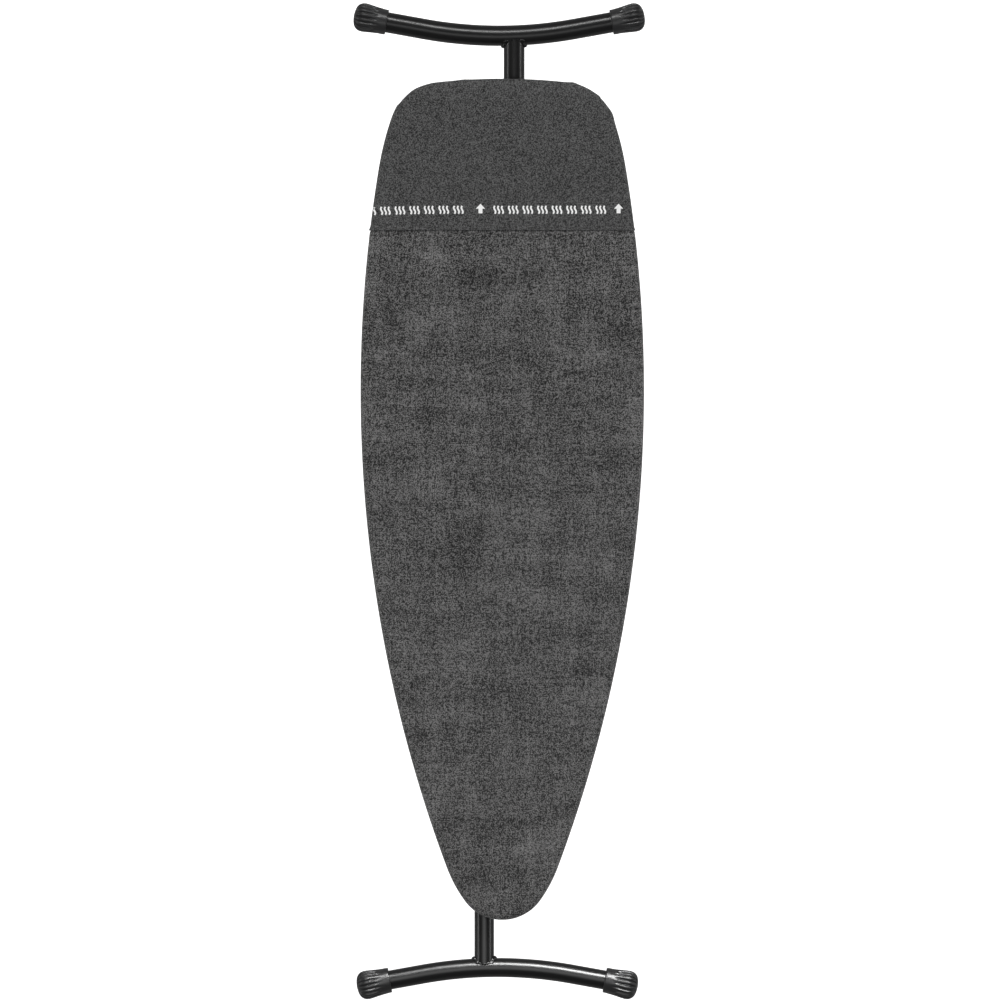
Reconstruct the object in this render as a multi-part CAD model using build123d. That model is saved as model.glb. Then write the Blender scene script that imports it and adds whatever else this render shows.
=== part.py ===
from build123d import *
import math
import os

# Folding ironing board, folded flat: ironing face up (+Z), wide end +Y, nose -Y, feet resting on z = 0.
# Millimetres. X = 0 is the centre plane between the two legs.

# --- board outline: tangent arcs (radius, turn in degrees) from the wide end's middle to the nose
BOARD_X = 5.0
END_Y = 674.7
OUTLINE_ARCS = [(964.0, 6.3), (87.0, 64.6), (467.0, 9.6), (2185.0, 30.0), (226.0, 15.5)]
COVER_SEAM_Y = 431.0

# --- board layers, heights above the floor
FRAME_R, FRAME_WALL, FRAME_Z, FRAME_INSET = 8.0, 1.2, 56.0, 12.0
MESH_Z0, MESH_T, MESH_INSET = 64.0, 1.0, 9.0
PAD_Z0, PAD_Z1, PAD_INSET = 65.3, 73.2, 2.6
COVER_TOP, COVER_T = 75.4, 2.0
HEM_LIP_Z0, HEM_LIP_Z1, HEM_IN, HEM_OUT, HEM_Z0 = 45.6, 47.6, 30.0, 38.0, 41.4
CORD_R, CORD_Z, CORD_INSET = 1.3, 44.5, 34.0

# --- cross braces: 25 x 10 box tube between the frame's long sides
BRACE_W, BRACE_Z0, BRACE_Z1, BRACE_WALL = 25.0, 54.0, 64.0, 1.2
BRACES = {
    "brace_nose": -590.0,
    "brace_rail_end": -498.5,
    "brace_lock": -71.5,
    "brace_middle": 170.0,
    "brace_hinge_front": 413.0,
    "brace_hinge_back": 483.0,
    "brace_wide_end": 600.0,
}

# --- legs: (tube radius, x of tube, y of top pivot, y of foot bar, foot bar radius, x of its middle, half span over caps)
LEG_Z = 23.0
PIVOT_Y = -4.5
TOP_Z = 51.0
TUBE_WALL = 1.5
NOSE_LEG = dict(r=15.5, x=-24.0, top=448.0, foot=-752.5, bar_r=15.4, bar_x=-3.0, span=226.5, away=-1)
WIDE_LEG = dict(r=16.5, x=24.0, top=-457.0, foot=744.5, bar_r=16.5, bar_x=0.0, span=234.5, away=1)
CROSS_R, CROSS_WALL = 9.0, 1.5
GUSSET_T = 3.0
BOW_R, BOW_ANGLE = 680.0, 10.2
CAP_LEN, CAP_SLEEVE, CAP_SLEEVE_R, CAP_BULB_R, CAP_DROP, CAP_FLUTES = 54.0, 24.0, 20.0, 23.0, 1.5, 18

# --- cross pivot
BOLT_R, SLEEVE_R, SPACER_R = 4.0, 6.5, 14.0

# --- slide rails and shoes
RAIL_IN, RAIL_WEB_IN, RAIL_WEB_OUT = 60.0, 74.0, 76.0
RAIL_Y0, RAIL_Y1 = -486.0, -84.0
RAIL_FLANGE, RAIL_H = 2.0, 11.0
SHOE_HALF_LEN, SHOE_HALF_H, SPIGOT_R = 22.0, 8.6, 6.0
RUN_FIT = 0.05

# --- height lock
ROD_X, ROD_Z, ROD_R = -3.0, 49.0, 4.0
ROD_Y1 = 30.0
HOUSING_Y0, HOUSING_Y1 = -59.0, 26.0
JAM_Y, JAM_Z, JAM_T, JAM_TILT = -10.0, 43.0, 4.0, 6.0
LEVER_PIN = (-32.0, -16.0)

# --- transport hook
HOOK_PIVOT = (580.0, 46.0)
HOOK_X0, HOOK_X1, HOOK_OPEN = 42.0, 45.0, 32.0


def box(x0, x1, y0, y1, z0, z1):
    return Pos((x0 + x1) / 2, (y0 + y1) / 2, (z0 + z1) / 2) * Box(x1 - x0, y1 - y0, z1 - z0)


def bar_x(r, x0, x1, y, z):
    return Pos((x0 + x1) / 2, y, z) * Rot(0, 90, 0) * Cylinder(r, x1 - x0)


def bar_y(r, x, y0, y1, z):
    return Pos(x, (y0 + y1) / 2, z) * Rot(90, 0, 0) * Cylinder(r, y1 - y0)


def bar_z(r, x, y, z0, z1):
    return Pos(x, y, (z0 + z1) / 2) * Cylinder(r, z1 - z0)


def plate_x(points, x0, x1):
    """A flat plate: a closed polygon of (y, z) points, as thick as x0 to x1."""
    face = make_face(Plane.YZ.offset(x0) * Polyline(*points, close=True))
    return extrude(face, amount=x1 - x0, dir=(1, 0, 0))


def outline_points(inset):
    """Start, middle and end points of each arc of the right-hand half of the outline, moved in by inset."""
    arcs, x, y, phi = [], 0.0, END_Y, 0.0
    for radius, turn in OUTLINE_ARCS:
        cx, cy = x - radius * math.sin(phi), y - radius * math.cos(phi)
        end = phi + math.radians(turn)
        arcs.append((cx, cy, radius, phi, end))
        x, y, phi = cx + radius * math.sin(end), cy + radius * math.cos(end), end
    nose = x / math.sin(phi)
    arcs.append((0.0, y - nose * math.cos(phi), nose, phi, math.pi))
    return [
        [(cx + (r - inset) * math.sin(a), cy + (r - inset) * math.cos(a)) for a in (a0, (a0 + a1) / 2, a1)]
        for cx, cy, r, a0, a1 in arcs
    ]


def outline_wire(inset, z):
    """The whole closed outline at height z, both halves, starting at the middle of the wide end."""
    right = outline_points(inset)
    left = [[(-x, y) for x, y in reversed(arc)] for arc in reversed(right)]
    edges = [
        ThreePointArc(*[(BOARD_X + x, y, z) for x, y in arc])
        for arc in right + left
    ]
    return Wire([e.edge() if hasattr(e, "edge") else e for e in edges])


def slab(inset, z0, z1):
    return extrude(make_face(outline_wire(inset, z0)), amount=z1 - z0, dir=(0, 0, 1))


def tube_round_outline(radius, wall, inset, z):
    path = outline_wire(inset, z)
    start = Plane(origin=(BOARD_X, END_Y - inset, z), z_dir=(1, 0, 0))
    section = start * Circle(radius)
    if wall:
        section -= start * Circle(radius - wall)
    return sweep(section, path=path)


def make_cover():
    """Fabric cover: top, skirt round the frame and a lip below it ending in a hollow hem."""
    shell = slab(0, HEM_LIP_Z0, COVER_TOP) - slab(COVER_T, HEM_LIP_Z1, COVER_TOP - COVER_T)
    shell -= slab(HEM_IN, HEM_LIP_Z0 - 1, HEM_LIP_Z1 + 1)
    hem = slab(HEM_IN, HEM_Z0, HEM_LIP_Z1) - slab(HEM_OUT, HEM_Z0 - 1, HEM_LIP_Z1 + 1)
    channel = slab(HEM_IN + 2, 43.0, 46.0) - slab(HEM_OUT - 2, 42.0, 47.0)
    cover = shell + (hem - channel)
    wide = box(-400, 400, COVER_SEAM_Y, 900, 0, 100)
    return cover - wide, cover & wide


def make_mesh():
    """Sheet metal top with staggered diamond openings."""
    pitch_x, pitch_y, half_x, half_y = 24.0, 52.0, 8.0, 19.0
    holes = []
    half_widths = [p for arc in outline_points(MESH_INSET + 16) for p in arc]
    for row in range(-13, 14):
        y = row * pitch_y / 2 * 1.8
        room = width_at(y + half_y, half_widths), width_at(y - half_y, half_widths)
        for col in range(-9, 10):
            x = (col + 0.5 * (row % 2)) * pitch_x
            if abs(x) + half_x < min(room):
                holes.append((BOARD_X + x, y))
    sheet = slab(MESH_INSET, MESH_Z0, MESH_Z0 + MESH_T)
    diamond = make_face(Polyline((half_x, 0), (0, half_y), (-half_x, 0), (0, -half_y), close=True))
    cutter = extrude(diamond, amount=MESH_T + 2, dir=(0, 0, 1))
    return sheet - [Pos(x, y, MESH_Z0 - 1) * cutter for x, y in holes]


def width_at(y, points):
    """Half-width of the outline at y, read between its arc points."""
    for (xa, ya), (xb, yb) in zip(points, points[1:]):
        if ya >= y >= yb and ya > yb:
            return xa + (xb - xa) * (ya - y) / (ya - yb)
    return 0.0


def make_brace(y, frame_outer):
    half = 240.0
    y0, y1 = y - BRACE_W / 2, y + BRACE_W / 2
    brace = box(BOARD_X - half, BOARD_X + half, y0, y1, BRACE_Z0, BRACE_Z1)
    w = BRACE_WALL
    brace -= box(BOARD_X - half, BOARD_X + half, y0 + w, y1 - w, BRACE_Z0 + w, BRACE_Z1 - w)
    brace = (brace & slab(FRAME_INSET, 40, 80)) - frame_outer
    pieces = sorted(brace.solids(), key=lambda s: s.volume)
    return pieces[-1]


def screw_up(x, y, z_head, z_tip):
    """A pan-head screw driven upwards, its head's top at z_head."""
    head = bar_z(4.5, x, y, z_head - 3.0, z_head)
    socket = bar_z(2.0, x, y, z_head - 3.0, z_head - 1.4)
    return head - socket + bar_z(2.5, x, y, z_head, z_tip)


def make_rail(side):
    """C-channel slide rail, open to the middle, with a screw tab under the brace at each end."""
    z0, z1 = TOP_Z - RAIL_H, TOP_Z + RAIL_H
    rail = box(RAIL_IN, RAIL_WEB_OUT, RAIL_Y0, RAIL_Y1, z0, z1)
    rail -= box(RAIL_IN - 1, RAIL_WEB_IN, RAIL_Y0 - 1, RAIL_Y1 + 1, z0 + RAIL_FLANGE, z1 - RAIL_FLANGE)
    for y0, y1 in ((RAIL_Y0 - 22, RAIL_Y0), (RAIL_Y1, RAIL_Y1 + 22)):
        rail += box(RAIL_WEB_IN, RAIL_WEB_OUT, y0, y1, 48.5, BRACE_Z0)
        rail += box(RAIL_WEB_OUT, 90, y0, y1, BRACE_Z0 - 2, BRACE_Z0)
        rail -= bar_z(2.5, 84, (y0 + y1) / 2, 40, 60)
    return rail if side > 0 else mirror(rail, about=Plane.YZ)


def make_hinge_bracket(side):
    """Hanging plate with a flange under both hinge braces, bored for the bush."""
    y0, y1 = BRACES["brace_hinge_front"] - 12.5, BRACES["brace_hinge_back"] + 12.5
    gap0, gap1 = y0 + BRACE_W + 0.5, y1 - BRACE_W - 0.5
    y, z = NOSE_LEG["top"], TOP_Z
    plate = plate_x(
        [(y0, 54), (y0, 48), (y - 20, z - 12), (y - 9, z - 17), (y + 9, z - 17), (y + 20, z - 12), (y1, 48), (y1, 54)],
        70, 73,
    )
    plate += box(70, 73, gap0, gap1, 50, 63.6)
    plate += box(73, 92, y0, y0 + BRACE_W, 51, 54) + box(73, 92, y1 - BRACE_W, y1, 51, 54)
    plate -= bar_x(10.5, 60, 90, y, z)
    for ys in (BRACES["brace_hinge_front"], BRACES["brace_hinge_back"]):
        plate -= bar_z(2.5, 83, ys, 40, 60)
    return plate if side > 0 else mirror(plate, about=Plane.YZ)


def make_bush(side):
    y, z = NOSE_LEG["top"], TOP_Z
    bush = bar_x(10.5, 68, 75, y, z) + bar_x(12.4, 68, 70, y, z)
    bush -= bar_x(CROSS_R + RUN_FIT, 60, 90, y, z)
    return bush if side > 0 else mirror(bush, about=Plane.YZ)


def bow_path(leg):
    """Foot bar centre line: a shallow arc that runs straight towards both ends, away from the board."""
    s, yf = leg["away"], leg["foot"]
    a = math.radians(BOW_ANGLE)
    x1, y1 = BOW_R * math.sin(a), yf + s * BOW_R * (1 - math.cos(a))
    end = leg["span"] - 10.0
    ye = y1 + s * (end - x1) * math.tan(a)
    return x1, y1, end, ye


def make_foot_bar(leg, wall=TUBE_WALL):
    x1, y1, end, ye = bow_path(leg)
    z = LEG_Z
    path = Wire([
        Edge.make_line((-end, ye, z), (-x1, y1, z)),
        Edge.make_three_point_arc((-x1, y1, z), (0, leg["foot"], z), (x1, y1, z)),
        Edge.make_line((x1, y1, z), (end, ye, z)),
    ])
    start = Plane(origin=(-end, ye, z), z_dir=(end - x1, y1 - ye, 0))
    section = start * Circle(leg["bar_r"])
    if wall:
        section -= start * Circle(leg["bar_r"] - wall)
    return Pos(leg["bar_x"], 0, 0) * sweep(section, path=path)


def make_cap(leg, side):
    """Foot cap: plain sleeve, then a fluted bulb set slightly towards the floor side, closed at the end."""
    s = leg["away"]
    sleeve = Pos(CAP_SLEEVE / 2, 0, 0) * Rot(0, 90, 0) * Cylinder(CAP_SLEEVE_R, CAP_SLEEVE)
    profile = make_face(Polyline(
        (CAP_SLEEVE - 2, 0), (CAP_SLEEVE - 2, CAP_SLEEVE_R - 0.5), (CAP_SLEEVE + 2, CAP_SLEEVE_R + 0.8),
        (CAP_SLEEVE + 12, CAP_BULB_R), (CAP_SLEEVE + 20, CAP_BULB_R), (CAP_SLEEVE + 25.5, CAP_BULB_R - 3),
        (CAP_SLEEVE + 29, CAP_BULB_R - 9), (CAP_LEN, CAP_BULB_R - 16), (CAP_LEN, 0), close=True,
    ))
    bulb = Pos(0, s * CAP_DROP, 0) * revolve(profile, Axis.X)
    cap = sleeve + bulb
    for i in range(CAP_FLUTES):
        a = math.radians(360 / CAP_FLUTES * (i + 0.5))
        y, z = (CAP_BULB_R + 0.6) * math.cos(a), (CAP_BULB_R + 0.6) * math.sin(a)
        cap -= Pos(CAP_SLEEVE + 20, y + s * CAP_DROP, z) * Rot(0, 90, 0) * Cylinder(1.7, 26)
    x1, y1, end, ye = bow_path(leg)
    ang = math.radians(BOW_ANGLE)
    tip = leg["span"] - 1.0
    x0 = tip - CAP_LEN * math.cos(ang)
    y0 = y1 + s * (x0 - x1) * math.tan(ang)
    bore_len = (end - x0) / math.cos(ang)
    cap -= Pos(bore_len / 2 - 1, 0, 0) * Rot(0, 90, 0) * Cylinder(leg["bar_r"], bore_len + 2)
    placed = Pos(x0, y0, LEG_Z) * Rot(0, 0, s * BOW_ANGLE) * cap
    return Pos(leg["bar_x"], 0, 0) * (placed if side > 0 else mirror(placed, about=Plane.YZ))


def make_leg_tube(leg):
    """Straight leg tube, coped on to its foot bar, drilled across for the pivot sleeve."""
    s, x, r = leg["away"], leg["x"], leg["r"]
    y0, y1 = leg["foot"], leg["top"] - s * 8.0
    tube = bar_y(r, x, min(y0, y1), max(y0, y1), LEG_Z) - bar_y(r - TUBE_WALL, x, min(y0, y1) - 1, max(y0, y1) + 1, LEG_Z)
    tube -= make_foot_bar(leg, wall=0)
    tube -= bar_x(SLEEVE_R, x - 30, x + 30, PIVOT_Y, LEG_Z)
    return max(tube.solids(), key=lambda p: p.volume)


def make_gussets(leg):
    """Two plates welded to the sides of the leg's top end, cradling the cross tube above it."""
    s, x, r, y = leg["away"], leg["x"], leg["r"], leg["top"]
    shape = [(-80, 14), (-80, 28), (-14, TOP_Z), (12, TOP_Z), (12, 30), (6, 14)]
    points = [(y - s * dy, z) for dy, z in shape]
    plates = []
    for x0, x1 in ((x - r - GUSSET_T, x - r), (x + r, x + r + GUSSET_T)):
        plates.append(plate_x(points, x0, x1) - bar_x(CROSS_R, x0 - 5, x1 + 5, y, TOP_Z))
    return Compound(plates)


def make_leg_plug(leg):
    s, x, r = leg["away"], leg["x"], leg["r"] - TUBE_WALL
    y = leg["top"] - s * 8.0
    plug = bar_y(r, x, min(y, y + s * 14), max(y, y + s * 14), LEG_Z)
    return plug + bar_y(r + 1.0, x, min(y, y - s * 2), max(y, y - s * 2), LEG_Z)


def make_foot_weld(leg):
    """Weld metal built up in the two corners between leg tube and foot bar."""
    s, x, r = leg["away"], leg["x"], leg["r"]
    y = leg["foot"] - s * (leg["bar_r"] - 3.0)
    keep_out = [bar_y(r, x, min(leg["foot"], 0), max(leg["foot"], 0), LEG_Z), make_foot_bar(leg, wall=0)]
    beads = []
    for dx in (-1, 1):
        bead = Pos(x + dx * (r + 0.5), y, LEG_Z) * Sphere(5.0) - keep_out
        beads.append(max(bead.solids(), key=lambda p: p.volume))
    return Compound(beads)


def make_sleeve(leg):
    x, r = leg["x"], leg["r"]
    return bar_x(SLEEVE_R, x - r, x + r, PIVOT_Y, LEG_Z) - bar_x(BOLT_R + RUN_FIT, x - r - 1, x + r + 1, PIVOT_Y, LEG_Z)


def make_pivot_bolt():
    """Domed bolt head, shank through both legs."""
    x0, x1 = NOSE_LEG["x"] - NOSE_LEG["r"] - 1.6, WIDE_LEG["x"] + WIDE_LEG["r"] + 8.0
    head = Pos(x0 - 4.5, PIVOT_Y, LEG_Z) * Rot(0, -90, 0) * Cone(9.0, 5.0, 4.0)
    collar = bar_x(9.0, x0 - 2.5, x0, PIVOT_Y, LEG_Z)
    return head + collar + bar_x(BOLT_R, x0, x1, PIVOT_Y, LEG_Z)


def make_pivot_nut():
    x0 = WIDE_LEG["x"] + WIDE_LEG["r"] + 2.0
    nut = Pos(x0, PIVOT_Y, LEG_Z) * Rot(0, 90, 0) * extrude(RegularPolygon(7.5, 6), amount=6.0)
    cap = Pos(x0 + 6.0, PIVOT_Y, LEG_Z) * Rot(0, 90, 0) * Pos(0, 0, 1.5) * Cylinder(6.0, 3.0)
    return nut + cap - bar_x(BOLT_R, x0 - 1, x0 + 6.0, PIVOT_Y, LEG_Z)


def ring_x(r_out, r_in, x0, x1, y, z):
    return bar_x(r_out, x0, x1, y, z) - bar_x(r_in, x0 - 1, x1 + 1, y, z)


def make_cross_tube(x0, x1, y):
    return ring_x(CROSS_R, CROSS_R - CROSS_WALL, x0, x1, y, TOP_Z)


def make_cross_plugs():
    y = NOSE_LEG["top"]
    right = bar_x(CROSS_R - CROSS_WALL, 70, 80, y, TOP_Z) + bar_x(11.5, 80, 83, y, TOP_Z)
    return Compound([right, mirror(right, about=Plane.YZ)])


def make_spigots():
    y = WIDE_LEG["top"]
    right = bar_x(CROSS_R - CROSS_WALL, 42, 57, y, TOP_Z) + bar_x(SPIGOT_R, 57, 73, y, TOP_Z)
    return Compound([right, mirror(right, about=Plane.YZ)])


def make_shoe(side):
    y = WIDE_LEG["top"]
    shoe = box(61, 73.4, y - SHOE_HALF_LEN, y + SHOE_HALF_LEN, TOP_Z - SHOE_HALF_H, TOP_Z + SHOE_HALF_H)
    shoe = chamfer(shoe.edges().filter_by(Axis.X), 3.0)
    shoe -= bar_x(SPIGOT_R + RUN_FIT, 50, 80, y, TOP_Z)
    return shoe if side > 0 else mirror(shoe, about=Plane.YZ)


def make_rod_clamp():
    """Ring round the slide tube with a socket that holds the lock rod."""
    y = WIDE_LEG["top"]
    clamp = bar_x(12.0, ROD_X - 6, ROD_X + 6, y, TOP_Z)
    clamp += box(ROD_X - 6, ROD_X + 6, y, y + 30, 43.2, 55.0)
    clamp -= bar_x(CROSS_R + RUN_FIT, ROD_X - 8, ROD_X + 8, y, TOP_Z)
    clamp -= bar_y(ROD_R, ROD_X, y + 11, y + 40, ROD_Z)
    return clamp


def make_lock_rod():
    y = WIDE_LEG["top"]
    rod = bar_y(ROD_R, ROD_X, y + 11, ROD_Y1, ROD_Z)
    return chamfer(rod.edges().filter_by(GeomType.CIRCLE), 0.8)


def make_lock_housing():
    """Pressed steel bracket: two end walls that guide the rod, floor and roof."""
    y0, y1 = HOUSING_Y0, HOUSING_Y1
    body = box(-24, 14, y0, y0 + 2, 40.5, 63) + box(-24, 14, y1 - 2, y1, 40.5, 63)
    body += box(-14, 8, y0, y1, 40.5, 42.5)
    body += box(-42, 14, y0, y1, 61, 63)
    body -= bar_y(ROD_R + 0.6, ROD_X, y0 - 5, y1 + 5, ROD_Z)
    body -= bar_z(2.5, LEVER_PIN[0], LEVER_PIN[1], 50, 70)
    for x in (-20, 10):
        body -= bar_y(2.0, x, y0 - 1, y0 + 4, 57)
    return body


def make_housing_rivets():
    rivets = []
    for x in (-20, 10):
        shank = bar_y(2.0, x, HOUSING_Y0 - 1.5, HOUSING_Y0 + 2, 57)
        rivets.append(shank + bar_y(3.6, x, HOUSING_Y0 + 2, HOUSING_Y0 + 3.5, 57))
    return Compound(rivets)


def make_jam_plate():
    """Hardened plate round the rod, tilted so that it bites; its foot is the fulcrum."""
    plate = box(ROD_X - 13, ROD_X + 11, 0, JAM_T, 0, 16)
    plate -= bar_y(ROD_R + 0.5, ROD_X, -2, JAM_T + 2, 5.912)
    return Pos(0, JAM_Y, JAM_Z) * Rot(JAM_TILT, 0, 0) * plate


def make_lock_spring():
    """Coil spring round the rod, between the jam plate and the housing's back wall."""
    start, length, radius, wire = -3.9, 27.3, 5.7, 0.5
    path = Edge.make_helix(pitch=length / 7, height=length, radius=radius)
    section = Plane(origin=path @ 0, z_dir=path % 0) * Circle(wire)
    coil = sweep(section, path=path, is_frenet=True)
    return Pos(ROD_X, start, ROD_Z) * Rot(-90, 0, 0) * coil


def make_lever():
    """Flat steel release lever: short finger at the jam plate, long arm to the board's side."""
    px, py = LEVER_PIN
    points = [
        (-13.5, py + 1.5), (-13.5, py + 4.1), (-24, py + 4.1), (px + 2, py + 8), (px - 6, py + 8), (-60, py + 3),
        (-165, py + 3), (-168, py), (-168, py - 9), (-165, py - 12), (-64, py - 12), (px - 4, py - 8), (px + 4, py - 7),
    ]
    arm = extrude(make_face(Polyline(*[(x, y, 55.5) for x, y in points], close=True)), amount=3.0, dir=(0, 0, 1))
    return arm - bar_z(2.55, px, py, 50, 60)


def make_lever_grip():
    py = LEVER_PIN[1] - 4.5
    grip = box(-174, -112, py - 12, py + 12, 52.5, 61.5)
    grip = fillet(grip.edges(), 3.5)
    return grip - make_lever_blank()


def make_lever_blank():
    py = LEVER_PIN[1]
    return extrude(
        make_face(Polyline(*[(x, y, 55.5) for x, y in (
            (-100, py + 3), (-165, py + 3), (-168, py), (-168, py - 9), (-165, py - 12), (-100, py - 12))], close=True)),
        amount=3.0, dir=(0, 0, 1),
    )


def make_lever_pin():
    px, py = LEVER_PIN
    return bar_z(2.5, px, py, 53.8, 63) + bar_z(4.2, px, py, 52.8, 55.0)


def make_hook():
    """Flat transport hook, drawn latched below the stud and then turned open about its pivot."""
    points = [(-6, -4), (-5, -31.5), (19, -31.5), (19, -26.1), (7, -26.1), (6, -4)]
    hook = plate_x(points, HOOK_X0, HOOK_X1) + bar_x(8.0, HOOK_X0, HOOK_X1, 0, 0)
    hook -= bar_x(3.05, HOOK_X0 - 1, HOOK_X1 + 1, 0, 0)
    return Pos(0, *HOOK_PIVOT) * Rot(-HOOK_OPEN, 0, 0) * hook


def make_hook_bracket():
    y, z = HOOK_PIVOT
    plate = plate_x([(y - 8, z - 7), (y + 8, z - 7), (y + 20, 51), (612, 51), (612, 54), (y - 2, 54), (y - 8, z + 4)], 46, 48.5)
    plate += box(48.5, 64, 588, 612, 51.5, 54)
    plate -= bar_x(3.0, 40, 60, y, z)
    return plate - bar_z(2.5, 57, 600, 40, 60)


def make_hook_pin():
    y, z = HOOK_PIVOT
    return bar_x(3.0, 41.2, 50.2, y, z) + bar_x(5.0, 41.0, 41.9, y, z)


def write(shape, name):
    export_step(shape, f"parts/{name}.step")


os.makedirs("parts", exist_ok=True)

main_cover, heat_cover = make_cover()
write(main_cover, "cover_main")
write(heat_cover, "cover_heat_zone")
write(tube_round_outline(CORD_R, 0, CORD_INSET, CORD_Z), "cover_drawcord")
write(slab(PAD_INSET, PAD_Z0, PAD_Z1), "foam_pad")
write(make_mesh(), "mesh_top")
write(tube_round_outline(FRAME_R, FRAME_WALL, FRAME_INSET, FRAME_Z), "board_frame")

screw_spots = [(sx * 84, y) for sx in (-1, 1) for y in (RAIL_Y0 - 11, RAIL_Y1 + 11)]
bracket_spots = [(sx * 83, BRACES[b]) for sx in (-1, 1) for b in ("brace_hinge_front", "brace_hinge_back")]
hook_spot = (57, 600)
screw_holes = [bar_z(2.5, x, y, 50, 58) for x, y in screw_spots + bracket_spots + [hook_spot]]
rivet_holes = [bar_y(2.0, x, HOUSING_Y0 - 5, HOUSING_Y0 + 1, 57) for x in (-20, 10)]
frame_outer = tube_round_outline(FRAME_R, 0, FRAME_INSET, FRAME_Z)
for brace_name, brace_y in BRACES.items():
    write(make_brace(brace_y, frame_outer) - screw_holes - rivet_holes, brace_name)

screws = [screw_up(x, y, BRACE_Z0 - 2, 57.5) for x, y in screw_spots]
screws += [screw_up(x, y, BRACE_Z0 - 3, 57.5) for x, y in bracket_spots]
screws += [screw_up(hook_spot[0], hook_spot[1], BRACE_Z0 - 2.5, 57.5)]
write(Compound(screws), "frame_screws")

for side, label in ((-1, "left"), (1, "right")):
    write(make_rail(side), f"slide_rail_{label}")
    write(make_hinge_bracket(side), f"hinge_bracket_{label}")
    write(make_shoe(side), f"glide_shoe_{label}")
write(Compound([make_bush(-1), make_bush(1)]), "hinge_bushes")
stops = [
    box(min(sx * 61, sx * 74), max(sx * 61, sx * 74), y0, y0 + 5, TOP_Z - 9, TOP_Z + 9)
    for sx in (-1, 1) for y0 in (RAIL_Y0, RAIL_Y1 - 5)
]
write(Compound(stops), "rail_stops")
write(
    Compound([
        box(-36, -12, -600, -580, LEG_Z + NOSE_LEG["r"] + 0.4, BRACE_Z0),
        box(12, 36, 590, 610, LEG_Z + WIDE_LEG["r"] + 0.4, BRACE_Z0),
    ]),
    "leg_bumpers",
)

for leg, label in ((NOSE_LEG, "nose"), (WIDE_LEG, "wide")):
    write(make_leg_tube(leg), f"leg_tube_{label}")
    write(make_gussets(leg), f"leg_gussets_{label}")
    write(make_leg_plug(leg), f"leg_plug_{label}")
    write(make_foot_bar(leg), f"foot_bar_{label}")
    write(make_foot_weld(leg), f"foot_weld_{label}")
    write(make_sleeve(leg), f"pivot_sleeve_{label}")
    write(make_cap(leg, -1), f"foot_cap_{label}_left")
    write(make_cap(leg, 1), f"foot_cap_{label}_right")
write(make_cross_tube(-80, 80, NOSE_LEG["top"]), "hinge_tube")
write(make_cross_plugs(), "hinge_tube_plugs")
write(make_cross_tube(-57, 57, WIDE_LEG["top"]), "slide_tube")
write(make_spigots(), "slide_spigots")

inner_a, inner_b = NOSE_LEG["x"] + NOSE_LEG["r"], WIDE_LEG["x"] - WIDE_LEG["r"]
outer_a, outer_b = NOSE_LEG["x"] - NOSE_LEG["r"], WIDE_LEG["x"] + WIDE_LEG["r"]
write(make_pivot_bolt(), "pivot_bolt")
write(make_pivot_nut(), "pivot_nut")
write(ring_x(SPACER_R, BOLT_R + RUN_FIT, inner_a + 0.1, inner_b - 0.3, PIVOT_Y, LEG_Z), "pivot_spacer")
write(
    Compound([
        ring_x(10.0, BOLT_R + RUN_FIT, outer_a - 1.6, outer_a, PIVOT_Y, LEG_Z),
        ring_x(10.0, BOLT_R + RUN_FIT, outer_b + 0.4, outer_b + 2.0, PIVOT_Y, LEG_Z),
    ]),
    "pivot_washers",
)

write(make_rod_clamp(), "rod_clamp")
write(make_lock_rod(), "lock_rod")
write(make_lock_housing(), "lock_housing")
write(make_housing_rivets(), "housing_rivets")
write(make_jam_plate(), "jam_plate")
write(make_lock_spring(), "lock_spring")
write(make_lever(), "release_lever")
write(make_lever_grip(), "lever_grip")
write(make_lever_pin(), "lever_pin")

write(make_hook(), "transport_hook")
write(make_hook_bracket(), "hook_bracket")
write(make_hook_pin(), "hook_pin")
stud_x = WIDE_LEG["x"] + WIDE_LEG["r"]
write(bar_x(3.0, stud_x - 3, 45.6, HOOK_PIVOT[0] + 15, LEG_Z + 1.0) - bar_y(WIDE_LEG["r"], WIDE_LEG["x"], 500, 700, LEG_Z), "latch_stud")
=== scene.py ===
import math

import bmesh
import bpy
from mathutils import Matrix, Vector, noise
from mathutils.bvhtree import BVHTree


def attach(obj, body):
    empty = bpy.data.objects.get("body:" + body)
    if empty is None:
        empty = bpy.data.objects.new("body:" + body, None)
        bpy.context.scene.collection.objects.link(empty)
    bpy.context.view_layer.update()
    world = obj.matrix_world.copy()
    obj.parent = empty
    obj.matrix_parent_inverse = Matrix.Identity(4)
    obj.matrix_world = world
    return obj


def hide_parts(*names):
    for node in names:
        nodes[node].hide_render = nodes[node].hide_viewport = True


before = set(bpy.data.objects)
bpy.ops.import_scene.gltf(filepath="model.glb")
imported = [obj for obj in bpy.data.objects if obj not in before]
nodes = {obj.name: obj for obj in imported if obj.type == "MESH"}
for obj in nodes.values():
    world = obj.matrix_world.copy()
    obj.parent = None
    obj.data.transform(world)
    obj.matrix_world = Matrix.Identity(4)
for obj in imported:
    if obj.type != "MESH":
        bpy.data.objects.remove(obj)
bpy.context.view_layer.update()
MM = 0.001


# ---------------------------------------------------------------- cover cloth
# The fitted cover: dark woven cotton over most of the top, and a silicone-coated heat-resistant cloth at
# the wide end. Both are sewn into one shape that is pulled over the padded frame, turned under it and
# gathered there by a drawcord in a hem.
BOARD_X = 5.0
END_Y = 674.7
OUTLINE_ARCS = [(964.0, 6.3), (87.0, 64.6), (467.0, 9.6), (2185.0, 30.0), (226.0, 15.5)]
SEAM_Y = 431.0
CLOTH_TOP = 75.1
CLOTH_T = 0.9
FLAT_INSET = 34  # from here outwards the cover rolls over the edge


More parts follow.
